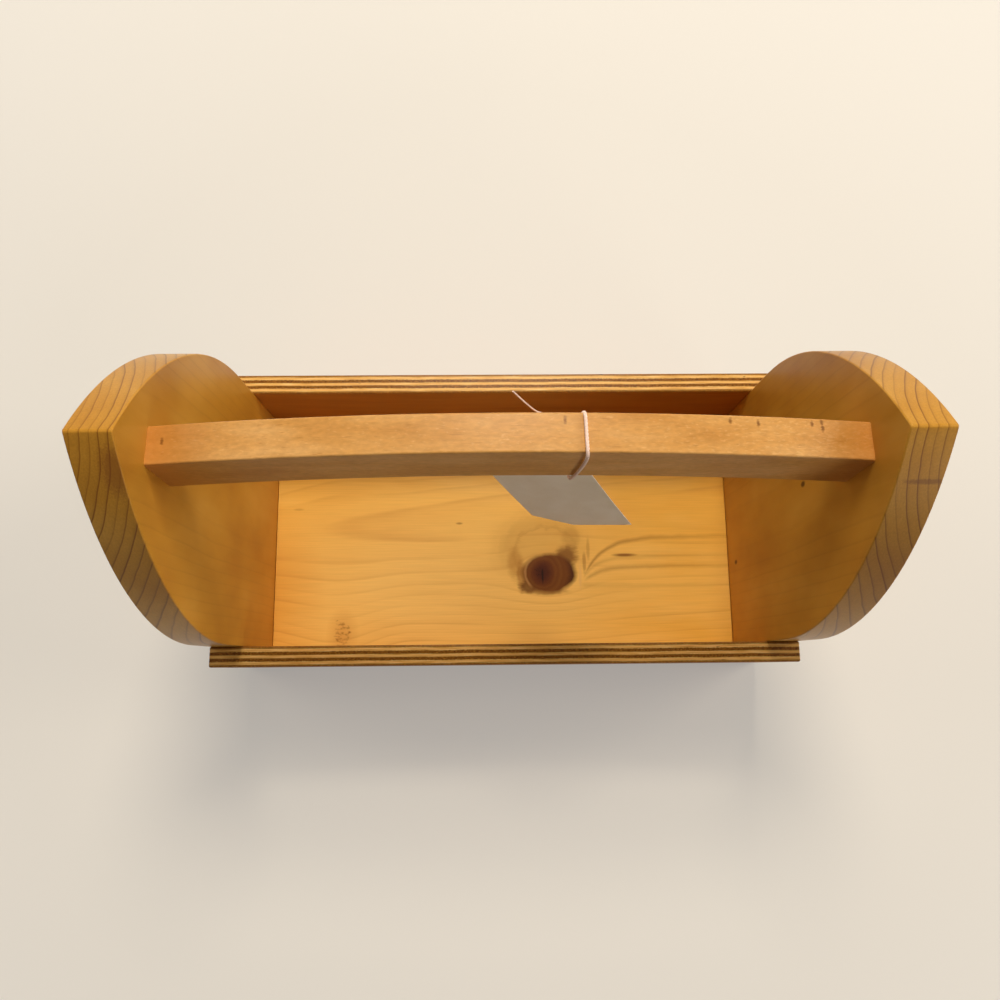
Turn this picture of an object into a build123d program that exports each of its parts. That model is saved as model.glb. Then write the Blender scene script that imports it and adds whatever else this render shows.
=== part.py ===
from build123d import *
from math import acos, cos, degrees, radians, sin, sqrt, tan
import os

# An open wooden tool caddy: two pointed end boards, two plywood side panels, a bottom board and
# an arched handle, all screwed together, with a paper tag hung from the handle by a string.
# X runs along the tray, Y from the front to the back, Z up. The origin is on the table under the
# middle of the tray. All sizes are in millimetres.

# End boards, solid pine: straight sides, then two arcs that meet in a ridge
inside_length = 304.8
end_width = 152.4
end_thickness = 19.05
end_height = 279.4
arch_radius = 203.2
ridge_radius = 1.4
board_ease = 0.8

# Bottom board, solid pine, let in between the ends and the side panels
bottom_thickness = 19.05
bottom_gap = 0.2
bottom_ease = 0.5

# Side panels, seven-ply plywood, as long as the caddy
panel_thickness = 11.9
panel_height = 88.9
panel_ease = 0.8

# Handle, an arched bar with square-cut ends, which leans back a little
handle_width = 17.5
handle_depth = 31.75
handle_rise = 13.6
handle_below_ridge = 48.6
handle_set_back = 1.3
handle_lean = 4.5
handle_ease = 1.0

# Countersunk wood screws
sink_angle = 82.0
screw_clearance = 0.05
tip_room = 0.5
tip_length = 5.0
tip_radius = 0.4
head_land = 0.3
screw_sides = 8
panel_screw_length = 31.75
panel_screw_radius = 1.75
panel_head_radius = 3.5
board_screw_length = 38.1
board_screw_radius = 2.1
board_head_radius = 4.2
panel_screw_inset = 16.0
floor_screw_pitch = 110.0
end_screw_pitch = 90.0
handle_screw_pitch = 15.0

# Tag string, tied round the handle, and its loose thread end
string_radius = 0.8
string_gap = 0.3
string_place = 29.4
string_drop = 21.9
loop_half_width = 3.6
cord_sides = 8
knot_radius = 2.2
knot_chamfer = 1.2
knot_below_top = 13.0
thread_radius = 0.35

# Hang tag, a paper card that hangs from a hole near one corner
tag_width = 50.8
tag_length = 69.85
tag_thickness = 0.4
tag_hole_radius = 2.5
tag_hole_from_top = 6.0
tag_hole_from_side = 9.6
tag_tilt = 28.6
tag_lean = -12.0
tag_turn = -11.9

half_inside = inside_length / 2
half_width = end_width / 2
end_outer = half_inside + end_thickness
end_middle = half_inside + end_thickness / 2
panel_outer = half_width + panel_thickness
shoulder_height = end_height - sqrt(arch_radius**2 - (arch_radius - half_width) ** 2)
arch_sweep = degrees(acos((arch_radius - half_width) / arch_radius))
handle_end_middle = end_height - handle_below_ridge
handle_half = handle_width / 2
half_depth = handle_depth / 2

os.makedirs("parts", exist_ok=True)


def save(piece, name):
    """Labels a finished piece and writes it to its own file."""
    piece.label = name
    export_step(piece, f"parts/{name}.step")


# The handle's own plane stands upright through the middle of its ends and faces the front.
handle_plane = Plane(
    (0, handle_set_back, handle_end_middle),
    x_dir=(1, 0, 0),
    z_dir=(0, -cos(radians(handle_lean)), sin(radians(handle_lean))),
)


def on_handle(along, up, out):
    """A point given along the handle, up its front face, and out of its middle to the front."""
    return handle_plane.from_local_coords((along, up, out))


# Where the screws go in: planes on the outer faces, each facing out of the wood.
def panel_screw_planes(side):
    """Four screws through a side panel into the edges of the two end boards."""
    heights = (bottom_thickness + panel_screw_inset, panel_height - panel_screw_inset)
    return [
        Plane((end * end_middle, side * panel_outer, height), x_dir=(1, 0, 0), z_dir=(0, side, 0))
        for end in (-1, 1)
        for height in heights
    ]


def panel_floor_planes(side):
    """Three screws through a side panel into the long edge of the bottom board."""
    return [
        Plane(
            (step * floor_screw_pitch, side * panel_outer, bottom_thickness / 2),
            x_dir=(1, 0, 0),
            z_dir=(0, side, 0),
        )
        for step in (-1, 0, 1)
    ]


def end_floor_planes(end):
    """Two screws through an end board into the end of the bottom board."""
    return [
        Plane(
            (end * end_outer, side * end_screw_pitch / 2, bottom_thickness / 2),
            x_dir=(0, 1, 0),
            z_dir=(end, 0, 0),
        )
        for side in (-1, 1)
    ]


def handle_screw_planes(end):
    """Two screws, one above the other, through an end board into the end of the handle."""
    return [
        Plane(
            on_handle(end * end_outer, step * handle_screw_pitch / 2, 0),
            x_dir=(0, 1, 0),
            z_dir=(end, 0, 0),
        )
        for step in (-1, 1)
    ]


def wood_screw(length, shank_radius, head_radius, room=0.0, end_room=0.0):
    """A countersunk screw down -Z from its head at Z = 0, or with room round it, its hole."""
    sink_height = (head_radius - shank_radius) / tan(radians(sink_angle / 2))
    head_height = head_land + sink_height
    with BuildPart() as screw:
        with BuildSketch():
            RegularPolygon(head_radius + room, screw_sides, major_radius=False)
        extrude(amount=-head_height)
        under_head = screw.faces().sort_by(Axis.Z)[0]
        chamfer(under_head.edges(), head_radius - shank_radius, sink_height, reference=under_head)
        with BuildSketch(Plane.XY.offset(-head_height)):
            RegularPolygon(shank_radius + room, screw_sides, major_radius=False)
        extrude(amount=head_height - length - end_room)
        tip = screw.faces().sort_by(Axis.Z)[0]
        chamfer(tip.edges(), shank_radius - tip_radius, tip_length, reference=tip)
    return screw.part


def bore(hole, planes):
    """Cuts screw holes in the piece that is being built."""
    with Locations(*planes):
        add(hole, mode=Mode.SUBTRACT)


panel_screw_size = (panel_screw_length, panel_screw_radius, panel_head_radius)
board_screw_size = (board_screw_length, board_screw_radius, board_head_radius)
panel_screw = wood_screw(*panel_screw_size)
board_screw = wood_screw(*board_screw_size)
panel_screw_hole = wood_screw(*panel_screw_size, room=screw_clearance, end_room=tip_room)
board_screw_hole = wood_screw(*board_screw_size, room=screw_clearance, end_room=tip_room)

# End boards: the arch is drawn on one side of the middle and mirrored.
for end, name in ((-1, "left"), (1, "right")):
    with BuildPart() as end_board:
        with BuildSketch(Plane.YZ.offset(end * end_middle)) as outline:
            with BuildLine():
                Polyline((0, 0), (half_width, 0), (half_width, shoulder_height))
                CenterArc((half_width - arch_radius, shoulder_height), arch_radius, 0, arch_sweep)
                mirror(about=Plane.YZ)
            make_face()
            fillet(outline.vertices().group_by(Axis.Y)[-1], ridge_radius)
        extrude(amount=end_thickness / 2, both=True)
        chamfer(end_board.edges().filter_by(GeomType.CIRCLE), board_ease)
        bore(board_screw_hole, handle_screw_planes(end) + end_floor_planes(end))
        for side in (-1, 1):
            bore(panel_screw_hole, panel_screw_planes(side))
    save(end_board.part, f"{name}_end_board")

# Side panels: they cover the edges of the end boards and of the bottom board.
for side, name in ((-1, "front"), (1, "back")):
    with BuildPart() as side_panel:
        with BuildSketch():
            with Locations((0, side * (half_width + panel_thickness / 2))):
                Rectangle(2 * end_outer, panel_thickness)
        extrude(amount=panel_height)
        chamfer(side_panel.edges(), panel_ease)
        bore(panel_screw_hole, panel_screw_planes(side) + panel_floor_planes(side))
    save(side_panel.part, f"{name}_side_panel")

# Bottom board
with BuildPart() as bottom_board:
    with BuildSketch():
        Rectangle(inside_length - 2 * bottom_gap, end_width - 2 * bottom_gap)
    extrude(amount=bottom_thickness)
    chamfer(bottom_board.faces().sort_by(Axis.Z)[-1].edges(), bottom_ease)
    for side in (-1, 1):
        bore(panel_screw_hole, panel_floor_planes(side))
    for end in (-1, 1):
        bore(board_screw_hole, end_floor_planes(end))
save(bottom_board.part, "bottom_board")

# Handle: the upper and lower edges are the same arc, one handle depth apart.
with BuildPart() as handle:
    with BuildSketch(handle_plane):
        with BuildLine():
            top_arc = ThreePointArc(
                (-half_inside, half_depth), (0, handle_rise + half_depth), (half_inside, half_depth)
            )
            under_arc = ThreePointArc(
                (-half_inside, -half_depth), (0, handle_rise - half_depth), (half_inside, -half_depth)
            )
            Line(top_arc @ 0, under_arc @ 0)
            Line(top_arc @ 1, under_arc @ 1)
        make_face()
    extrude(amount=handle_half, both=True)
    chamfer(handle.edges().filter_by(GeomType.CIRCLE), handle_ease)
    for end in (-1, 1):
        bore(board_screw_hole, handle_screw_planes(end))
save(handle.part, "handle")

# Screws, one group for each joint between two boards
screw_groups = {
    "front_panel_screws": (panel_screw, panel_screw_planes(-1)),
    "back_panel_screws": (panel_screw, panel_screw_planes(1)),
    "front_floor_screws": (panel_screw, panel_floor_planes(-1)),
    "back_floor_screws": (panel_screw, panel_floor_planes(1)),
    "left_floor_screws": (board_screw, end_floor_planes(-1)),
    "right_floor_screws": (board_screw, end_floor_planes(1)),
    "left_handle_screws": (board_screw, handle_screw_planes(-1)),
    "right_handle_screws": (board_screw, handle_screw_planes(1)),
}
for name, (one_screw, planes) in screw_groups.items():
    with BuildPart() as screws:
        with Locations(*planes):
            add(one_screw)
    save(screws.part, name)

# Tag string: from the knot behind the handle, over the handle, down its front, through the tag's
# hole below it, and up again to the knot.
string_off = string_radius + string_gap
arch_curve = (half_inside**2 + handle_rise**2) / (2 * handle_rise)
local_middle = handle_rise - arch_curve + sqrt(arch_curve**2 - string_place**2)
string_top = local_middle + half_depth + string_off
string_under = local_middle - half_depth - string_off
string_out = handle_half + string_off
string_low = handle_end_middle + local_middle - half_depth - string_drop
knot_half_gap = 1.1
knot_up = local_middle + half_depth - knot_below_top
knot_out = handle_half + string_gap + knot_radius
knot = on_handle(string_place, knot_up, -knot_out)
tag_x = string_place - 1.8
string_route = [
    on_handle(string_place, knot_up + knot_half_gap, -knot_out),
    on_handle(string_place + 0.1, string_top, -string_out),
    on_handle(string_place + 0.2, string_top, string_out),
    on_handle(string_place - 3.2, string_under, string_out),
    (string_place - 2.5, -2.0 * loop_half_width, string_low + 7.8),
    (tag_x - 0.3, -loop_half_width, string_low),
    (tag_x + 0.3, loop_half_width, string_low),
    (string_place - 0.6, 2.0 * loop_half_width, string_low + 7.8),
    on_handle(string_place - 0.1, string_under, -string_out),
    on_handle(string_place, knot_up - knot_half_gap, -knot_out),
]
edge_bend = handle_ease + string_off


def bend_radii(route, tight=()):
    """For each corner, 0.45 of the shorter run over the tangent of half the turn, or a tight bend."""
    radii = []
    for index in range(1, len(route) - 1):
        before = Vector(route[index]) - Vector(route[index - 1])
        after = Vector(route[index + 1]) - Vector(route[index])
        shorter = min(before.length, after.length)
        radius = 0.45 * shorter / tan(radians(before.get_angle(after) / 2))
        radii.append(edge_bend if index in tight else radius)
    return radii


def tube(route, radii, radius):
    """A cord of eight flat sides along straight runs joined by tangent arcs."""
    with BuildPart() as cord:
        with BuildLine():
            path = FilletPolyline(*route, radius=radii)
        with BuildSketch(Plane(route[0], z_dir=path % 0)) as section:
            RegularPolygon(radius, cord_sides)
        sweep(path=path)
    filled = cord.part.volume / (section.sketch.area * path.length)
    print("cord length", round(path.length, 1), "volume ratio", round(filled, 4))
    print("bend radii", [round(r, 1) for r in radii])
    return cord.part


top_corners = (1, 2)
save(tube(string_route, bend_radii(string_route, top_corners), string_radius), "tag_string")

thread_route = [
    knot,
    knot + Vector(-9.8, 0.1, 4.3),
    knot + Vector(-19.8, 0.2, 7.6),
    knot + Vector(-29.3, 5.7, 18.6),
]
save(tube(thread_route, bend_radii(thread_route), thread_radius), "string_tail")

with BuildPart() as string_knot:
    with BuildSketch(Plane(knot)):
        RegularPolygon(knot_radius, cord_sides)
    extrude(amount=knot_radius, both=True)
    chamfer(string_knot.faces().filter_by(Axis.Z).edges(), knot_chamfer)
save(string_knot.part, "string_knot")

# Hang tag: drawn on its own plane, whose origin is where the string carries it.
tag_right = Vector(1, 0, 0).rotate(Axis.Y, -tag_tilt).rotate(Axis.X, tag_lean).rotate(Axis.Z, tag_turn)
tag_face = Vector(0, -1, 0).rotate(Axis.X, tag_lean).rotate(Axis.Z, tag_turn)
tag_hole_below = tag_hole_radius - string_radius - string_gap
with BuildPart() as hang_tag:
    with BuildSketch(Plane((tag_x, 0, string_low), x_dir=tag_right, z_dir=tag_face)):
        with Locations(
            (
                tag_hole_from_side - tag_width / 2,
                tag_hole_from_top - tag_hole_below - tag_length / 2,
            )
        ):
            Rectangle(tag_width, tag_length)
        with Locations((0, -tag_hole_below)):
            Circle(tag_hole_radius, mode=Mode.SUBTRACT)
    extrude(amount=tag_thickness / 2, both=True)
save(hang_tag.part, "hang_tag")
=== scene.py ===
import math

import bmesh
import bpy
from mathutils import Matrix, Vector


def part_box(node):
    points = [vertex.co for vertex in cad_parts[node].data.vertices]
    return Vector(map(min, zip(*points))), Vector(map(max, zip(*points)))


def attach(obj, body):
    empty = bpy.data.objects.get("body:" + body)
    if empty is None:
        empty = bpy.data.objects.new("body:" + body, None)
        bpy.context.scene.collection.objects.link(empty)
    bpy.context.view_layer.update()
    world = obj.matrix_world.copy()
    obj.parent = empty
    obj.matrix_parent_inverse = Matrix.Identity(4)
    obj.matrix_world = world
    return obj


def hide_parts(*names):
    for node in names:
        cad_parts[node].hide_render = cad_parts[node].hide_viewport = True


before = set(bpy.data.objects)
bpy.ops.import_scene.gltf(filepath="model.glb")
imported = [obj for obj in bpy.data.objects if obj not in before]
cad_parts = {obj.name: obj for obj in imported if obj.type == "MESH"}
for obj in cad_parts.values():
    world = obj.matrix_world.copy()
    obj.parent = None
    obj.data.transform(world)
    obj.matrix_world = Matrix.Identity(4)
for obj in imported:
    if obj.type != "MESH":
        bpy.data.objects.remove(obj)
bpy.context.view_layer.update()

# End boards: two pine boards sawn to a pointed arch, sanded, and varnished to a warm honey colour.
# Their grain stands upright, so the edge of the arch shows the growth rings as fine dark lines.
# They carry the whole caddy: the panels, the bottom board and the handle are screwed to them.
end_width = 0.1524
end_height = 0.2794
arch_radius = 0.2032
arch_steps = 48
ridge_round = 0.0014
board_ease = 0.0007
ease_steps = 3
ridge_steps = 4
merge_gap = 0.00001
sharp_angle = math.radians(50)


def ease_edges(shape, edges, offset, segments):
    """Rounds the given edges of a shape."""
    bmesh.ops.bevel(
        shape, geom=edges, offset=offset, segments=segments, profile=0.5, affect="EDGES", material=-1
    )


def end_board_mesh(x_low, x_high):
    """Draws one half of the arch as a line, mirrors it, fills it and gives it its thickness."""
    half = end_width / 2
    sweep = math.acos((arch_radius - half) / arch_radius)
    shoulder = end_height - arch_radius * math.sin(sweep)
    board = bmesh.new()
    foot = board.verts.new((x_low, half, 0))
    rise = bmesh.ops.extrude_vert_indiv(board, verts=[foot])["verts"]
    bmesh.ops.translate(board, verts=rise, vec=(0, 0, shoulder))
    bmesh.ops.spin(
        board,
        geom=rise,
        cent=(x_low, half - arch_radius, shoulder),
        axis=(1, 0, 0),
        angle=sweep,
        steps=arch_steps,
    )
    bmesh.ops.mirror(board, geom=board.verts[:] + board.edges[:], axis="Y", merge_dist=merge_gap)
    bmesh.ops.contextual_create(board, geom=[v for v in board.verts if v.co.z < merge_gap])
    bmesh.ops.contextual_create(board, geom=board.edges[:])
    thick = bmesh.ops.extrude_face_region(board, geom=board.faces[:])["geom"]
    far_side = [v for v in thick if isinstance(v, bmesh.types.BMVert)]
    bmesh.ops.translate(board, verts=far_side, vec=(x_high - x_low, 0, 0))
    bmesh.ops.recalc_face_normals(board, faces=board.faces[:])
    ridge = [e for e in board.edges if all(v.co.z > end_height - merge_gap for v in e.verts)]
    ease_edges(board, ridge, ridge_round / math.tan(sweep), ridge_steps)
    board.normal_update()
    rim = [
        e
        for e in board.edges
        if any(abs(f.normal.x) > 0.9 for f in e.link_faces)
        and any(abs(f.normal.x) < 0.1 and f.normal.z > -0.9 for f in e.link_faces)
    ]
    ease_edges(board, rim, board_ease, ease_steps)
    return board


def add_piece(name, shape, material, body, slot, *nodes):
    """Makes an object of a bmesh, which rides on a body and stands for some CAD nodes."""
    mesh = bpy.data.meshes.new(name)
    shape.to_mesh(mesh)
    shape.free()
    mesh.shade_smooth()
    mesh.set_sharp_from_angle(angle=sharp_angle)
    mesh.materials.append(material)
    piece = bpy.data.objects.new(name, mesh)
    bpy.context.scene.collection.objects.link(piece)
    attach(piece, body)
    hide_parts(*nodes)
    return piece


def flat_faces(piece):
    """Keeps the big faces of a board flat to the eye, with smooth shading only on its eased edges."""
    even = piece.modifiers.new("flat_faces", "WEIGHTED_NORMAL")
    even.weight = 100
    even.keep_sharp = True


def linear(code):
    """The linear colour of an sRGB hex value."""
    levels = [int(code[i : i + 2], 16) / 255 for i in (1, 3, 5)]
    return [c / 12.92 if c <= 0.04045 else ((c + 0.055) / 1.055) ** 2.4 for c in levels] + [1.0]


def add_node(tree, kind, inputs, out=0, stops=None, **settings):
    """Adds a shader node, sets it, fills or links its inputs, and gives back one of its outputs.

    An input or a colour stop may be a number or an sRGB hex colour.
    """
    node = tree.nodes.new("ShaderNode" + kind)
    for name, value in settings.items():
        setattr(node, name, value)
    for name, value in inputs.items():
        if isinstance(value, bpy.types.NodeSocket):
            tree.links.new(value, node.inputs[name])
        else:
            node.inputs[name].default_value = linear(value) if isinstance(value, str) else value
    if stops:
        ramp = node.color_ramp.elements
        ramp.remove(ramp[1])
        ramp[0].position = min(stops)
        for position, value in stops.items():
            stop = ramp[0] if position == min(stops) else ramp.new(position)
            stop.color = linear(value) if isinstance(value, str) else [value, value, value, 1.0]
    return node.outputs[out] if node.outputs else None


def start_material(name):
    """An empty material, its node tree, and the piece's own coordinates in millimetres."""
    material = bpy.data.materials.new(name)
    material.use_nodes = True
    tree = material.node_tree
    tree.nodes.clear()
    metres = add_node(tree, "TexCoord", {}, out="Object")
    place = add_node(tree, "VectorMath", {0: metres, "Scale": 1000.0}, operation="SCALE")
    return material, tree, place


def grain(tree, place, size, detail=3.0):
    """Soft noise whose spots have this size in millimetres along X, Y and Z."""
    spots = add_node(tree, "Mapping", {0: place, "Scale": [1 / s for s in size]})
    return add_node(tree, "TexNoise", {"Vector": spots, "Scale": 1.0, "Detail": detail})


def reach_from(tree, place, centre, size):
    """How far a point lies from the middle of a spot, in shares of the spot's own size.

    Along an axis for which no size is given, the spot goes right through the piece.
    """
    through = [0.0] * (3 - len(size))
    scale = [1 / s for s in size] + through
    middle = [-c / s for c, s in zip(centre, size)] + through
    aside = add_node(tree, "VectorMath", {0: place, 1: scale, 2: middle}, operation="MULTIPLY_ADD")
    return add_node(tree, "VectorMath", {0: aside}, out="Value", operation="LENGTH")


def stain_spot(tree, place, colour, shade, centre, size, depth, edge, fray=None, ragged=0.0, **fade):
    """Stains a colour round a point, fading out over an edge that is frayed where asked."""
    away = reach_from(tree, place, centre, size)
    if fray is not None:
        away = add_node(tree, "Math", {0: fray, 1: ragged, 2: away}, operation="MULTIPLY_ADD")
    share = add_node(tree, "MapRange", {0: away, 1: edge[0], 2: edge[1], 3: depth, 4: 0.0}, **fade)
    return add_node(tree, "Mix", {0: share, 6: colour, 7: shade}, out=2, data_type="RGBA")


def varnish(tree, colour, relief, relief_depth, roughness=0.33):
    """Oil varnish brushed on sanded wood: a satin skin over the colour, with a trace of the grain."""
    bump = add_node(tree, "Bump", {"Height": relief, "Strength": 1.0, "Distance": relief_depth})
    wood = add_node(
        tree,
        "BsdfPrincipled",
        {
            "Base Color": colour,
            "Roughness": roughness,
            "IOR": 1.45,
            "Specular IOR Level": 0.17,
            "Normal": bump,
            "Coat Weight": 0.03,
            "Coat Roughness": 0.25,
        },
    )
    add_node(tree, "OutputMaterial", {"Surface": wood})


def end_pine(name, pith, first_ring, ring_pitch, patch, pins):
    """Pine with upright grain: thin dark late wood in rings about a pith outside the board."""
    material, tree, place = start_material(name)
    facing = add_node(tree, "TexCoord", {}, out="Normal")
    outward = add_node(tree, "SeparateXYZ", {0: facing})
    broad = add_node(tree, "Math", {0: outward}, operation="ABSOLUTE")

    sway_reach = 1.9
    sway = grain(tree, place, (38, 38, 110), 4.0)
    from_pith = add_node(
        tree,
        "VectorMath",
        {0: place, 1: (1, 1, 0), 2: (-pith[0], -pith[1], 0)},
        operation="MULTIPLY_ADD",
    )
    radius = add_node(tree, "VectorMath", {0: from_pith}, out="Value", operation="LENGTH")
    swayed = add_node(tree, "Math", {0: sway, 1: 2 * sway_reach, 2: radius}, operation="MULTIPLY_ADD")
    ring_offset = 0.5 - (first_ring + sway_reach) / ring_pitch
    rings = add_node(
        tree, "Math", {0: swayed, 1: 1 / ring_pitch, 2: ring_offset}, operation="MULTIPLY_ADD"
    )
    across = add_node(tree, "Math", {0: rings}, operation="FRACT")
    number = add_node(tree, "Math", {0: rings}, operation="FLOOR")
    late_wood = add_node(
        tree,
        "ValToRGB",
        {0: across},
        stops={0.0: 0.0, 0.2: 0.05, 0.4: 0.26, 0.48: 1.0, 0.53: 0.9, 0.59: 0.0},
    )
    each = add_node(tree, "TexWhiteNoise", {"W": number}, noise_dimensions="1D")
    some = add_node(tree, "MapRange", {0: each, 3: 0.35, 4: 0.85})
    shown = add_node(tree, "MapRange", {0: broad, 1: 0.3, 2: 0.95, 3: 1.0, 4: 0.15})
    strength = add_node(tree, "Math", {0: some, 1: shown}, operation="MULTIPLY")
    line = add_node(tree, "Math", {0: late_wood, 1: strength}, operation="MULTIPLY")

    cloud = grain(tree, place, (38, 38, 80))
    body = add_node(
        tree, "ValToRGB", {0: cloud}, stops={0.3: "#b9802b", 0.5: "#c89134", 0.7: "#d4a044"}
    )
    fibre = grain(tree, place, (0.7, 0.7, 26))
    depth = add_node(tree, "MapRange", {0: broad, 1: 0.3, 2: 0.95, 3: 0.12, 4: 0.02})
    centred = add_node(tree, "Math", {0: fibre, 1: -0.5}, operation="ADD")
    streak = add_node(tree, "Math", {0: centred, 1: depth}, operation="MULTIPLY")
    soaked = add_node(tree, "MapRange", {0: broad, 1: 0.3, 2: 0.95, 3: 0.84, 4: 1.0})
    level = add_node(tree, "Math", {0: streak, 1: 3.0, 2: soaked}, operation="MULTIPLY_ADD")
    streaked = add_node(tree, "VectorMath", {0: body, "Scale": level}, operation="SCALE")
    colour = add_node(tree, "Mix", {0: line, 6: streaked, 7: "#744414"}, out=2, data_type="RGBA")
    away = reach_from(tree, place, patch["at"], patch["size"])
    frayed = add_node(tree, "Math", {0: fibre, 1: 0.8, 2: away}, operation="MULTIPLY_ADD")
    stained = add_node(tree, "MapRange", {0: frayed, 1: 1.0, 2: 1.7, 3: patch["depth"], 4: 0.0})
    stain = add_node(tree, "Math", {0: stained, 1: shown}, operation="MULTIPLY")
    colour = add_node(tree, "Mix", {0: stain, 6: colour, 7: patch["colour"]}, out=2, data_type="RGBA")
    for pin in pins:
        colour = stain_spot(tree, place, colour, "#4e260a", pin, (30.0, 1.9, 3.6), 0.95, (0.5, 1.0))
    varnish(tree, colour, fibre, 0.00002)
    return material


left_low, left_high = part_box("left_end_board")
right_low, right_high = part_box("right_end_board")
left_pine = end_pine(
    "varnished_pine_left",
    pith=(-215.0, 6.6),
    first_ring=50.2,
    ring_pitch=3.8,
    patch={"at": (-155.0, -14.0, 268.0), "size": (5.5, 9.0, 18.0), "depth": 0.5, "colour": "#7c4620"},
    pins=[],
)
right_pine = end_pine(
    "varnished_pine_right",
    pith=(209.4, -3.5),
    first_ring=42.6,
    ring_pitch=3.93,
    patch={"at": (165.0, -18.5, 262.0), "size": (9.0, 0.9, 30.0), "depth": 0.6, "colour": "#7a4a22"},
    pins=[(152.4, 1.6, 164.0), (152.4, -23.4, 36.5)],
)
left_shape = end_board_mesh(left_low.x, left_high.x)
right_shape = end_board_mesh(right_low.x, right_high.x)
left_end = add_piece("left_end", left_shape, left_pine, "caddy", "pine", "left_end_board")
right_end = add_piece("right_end", right_shape, right_pine, "caddy", "pine", "right_end_board")

# Bottom board: one wide pine board laid flat between the ends, with its grain along the tray.
# It has one big sound knot, one small cluster of pin knots and a short resin streak.
# The side panels and the ends are screwed into its edges.
bottom_ease = 0.0005
bottom_ease_steps = 2
knot_middle = (31.0, -27.7)
knot_size = (18.8, 13.4)
core_middle = (26.6, -27.3)
core_size = (10.4, 11.2)


def box_mesh(low, high):
    """A plain block between two corners."""
    block = bmesh.new()
    middle = Matrix.Translation((low + high) / 2)
    bmesh.ops.create_cube(block, size=1.0, matrix=middle @ Matrix.Diagonal((high - low).to_4d()))
    return block


def floor_grain(tree, place):
    """Flat-sawn pine: wide arches of late wood that point left and flow round the big knot."""
    along = add_node(tree, "SeparateXYZ", {0: place})
    over = add_node(tree, "SeparateXYZ", {0: place}, out="Y")
    dip = reach_from(tree, place, (-112.0,), (26.0,))
    dipping = add_node(
        tree, "MapRange", {0: dip, 2: 2.0, 3: 0.86, 4: 1.0}, interpolation_type="SMOOTHSTEP"
    )
    lowered = add_node(tree, "Math", {0: over, 1: dipping}, operation="MULTIPLY")
    wave = grain(tree, place, (110, 40, 40), 2.0)
    line_place = add_node(tree, "Math", {0: wave, 1: 5.0, 2: lowered}, operation="MULTIPLY_ADD")

    push, stretch = 15.0, 1.7
    aside = add_node(
        tree,
        "VectorMath",
        {0: place, 1: (1 / stretch, 1, 0), 2: (-knot_middle[0] / stretch, -knot_middle[1], 0)},
        operation="MULTIPLY_ADD",
    )
    square = add_node(tree, "VectorMath", {0: aside, 1: aside}, out="Value", operation="DOT_PRODUCT")
    softened = add_node(tree, "Math", {0: square, 1: 0.4 * push**2}, operation="ADD")
    offset = add_node(tree, "Math", {0: over, 1: -knot_middle[1]}, operation="ADD")
    share = add_node(tree, "Math", {0: offset, 1: softened}, operation="DIVIDE")
    flowing = add_node(tree, "Math", {0: share, 1: -(push**2), 2: line_place}, operation="MULTIPLY_ADD")

    arch_axis = add_node(tree, "Math", {0: along, 1: -0.05, 2: flowing}, operation="MULTIPLY_ADD")
    centred = add_node(tree, "Math", {0: arch_axis, 1: -9.5}, operation="ADD")
    pith_depth = add_node(tree, "Math", {0: along, 1: -0.035, 2: 31.6}, operation="MULTIPLY_ADD")
    from_pith = add_node(tree, "CombineXYZ", {0: centred, 1: pith_depth})
    radius = add_node(tree, "VectorMath", {0: from_pith}, out="Value", operation="LENGTH")
    ring_pitch = 5.2
    rings = add_node(tree, "Math", {0: radius, 1: 1 / ring_pitch, 2: 0.1}, operation="MULTIPLY_ADD")
    across = add_node(tree, "Math", {0: rings}, operation="FRACT")
    number = add_node(tree, "Math", {0: rings}, operation="FLOOR")
    late_wood = add_node(
        tree,
        "ValToRGB",
        {0: across},
        stops={0.0: 0.0, 0.3: 0.06, 0.7: 0.35, 0.86: 1.0, 0.91: 0.9, 1.0: 0.0},
    )
    each = add_node(tree, "TexWhiteNoise", {"W": number}, noise_dimensions="1D")
    some = add_node(tree, "MapRange", {0: each, 3: 0.08, 4: 0.3})
    fading = grain(tree, place, (70, 14, 14), 2.0)
    seen = add_node(tree, "MapRange", {0: fading, 1: 0.35, 2: 0.6, 3: 0.25, 4: 1.0})
    shown = add_node(tree, "Math", {0: some, 1: seen}, operation="MULTIPLY")
    return add_node(tree, "Math", {0: late_wood, 1: shown}, operation="MULTIPLY")


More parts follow.
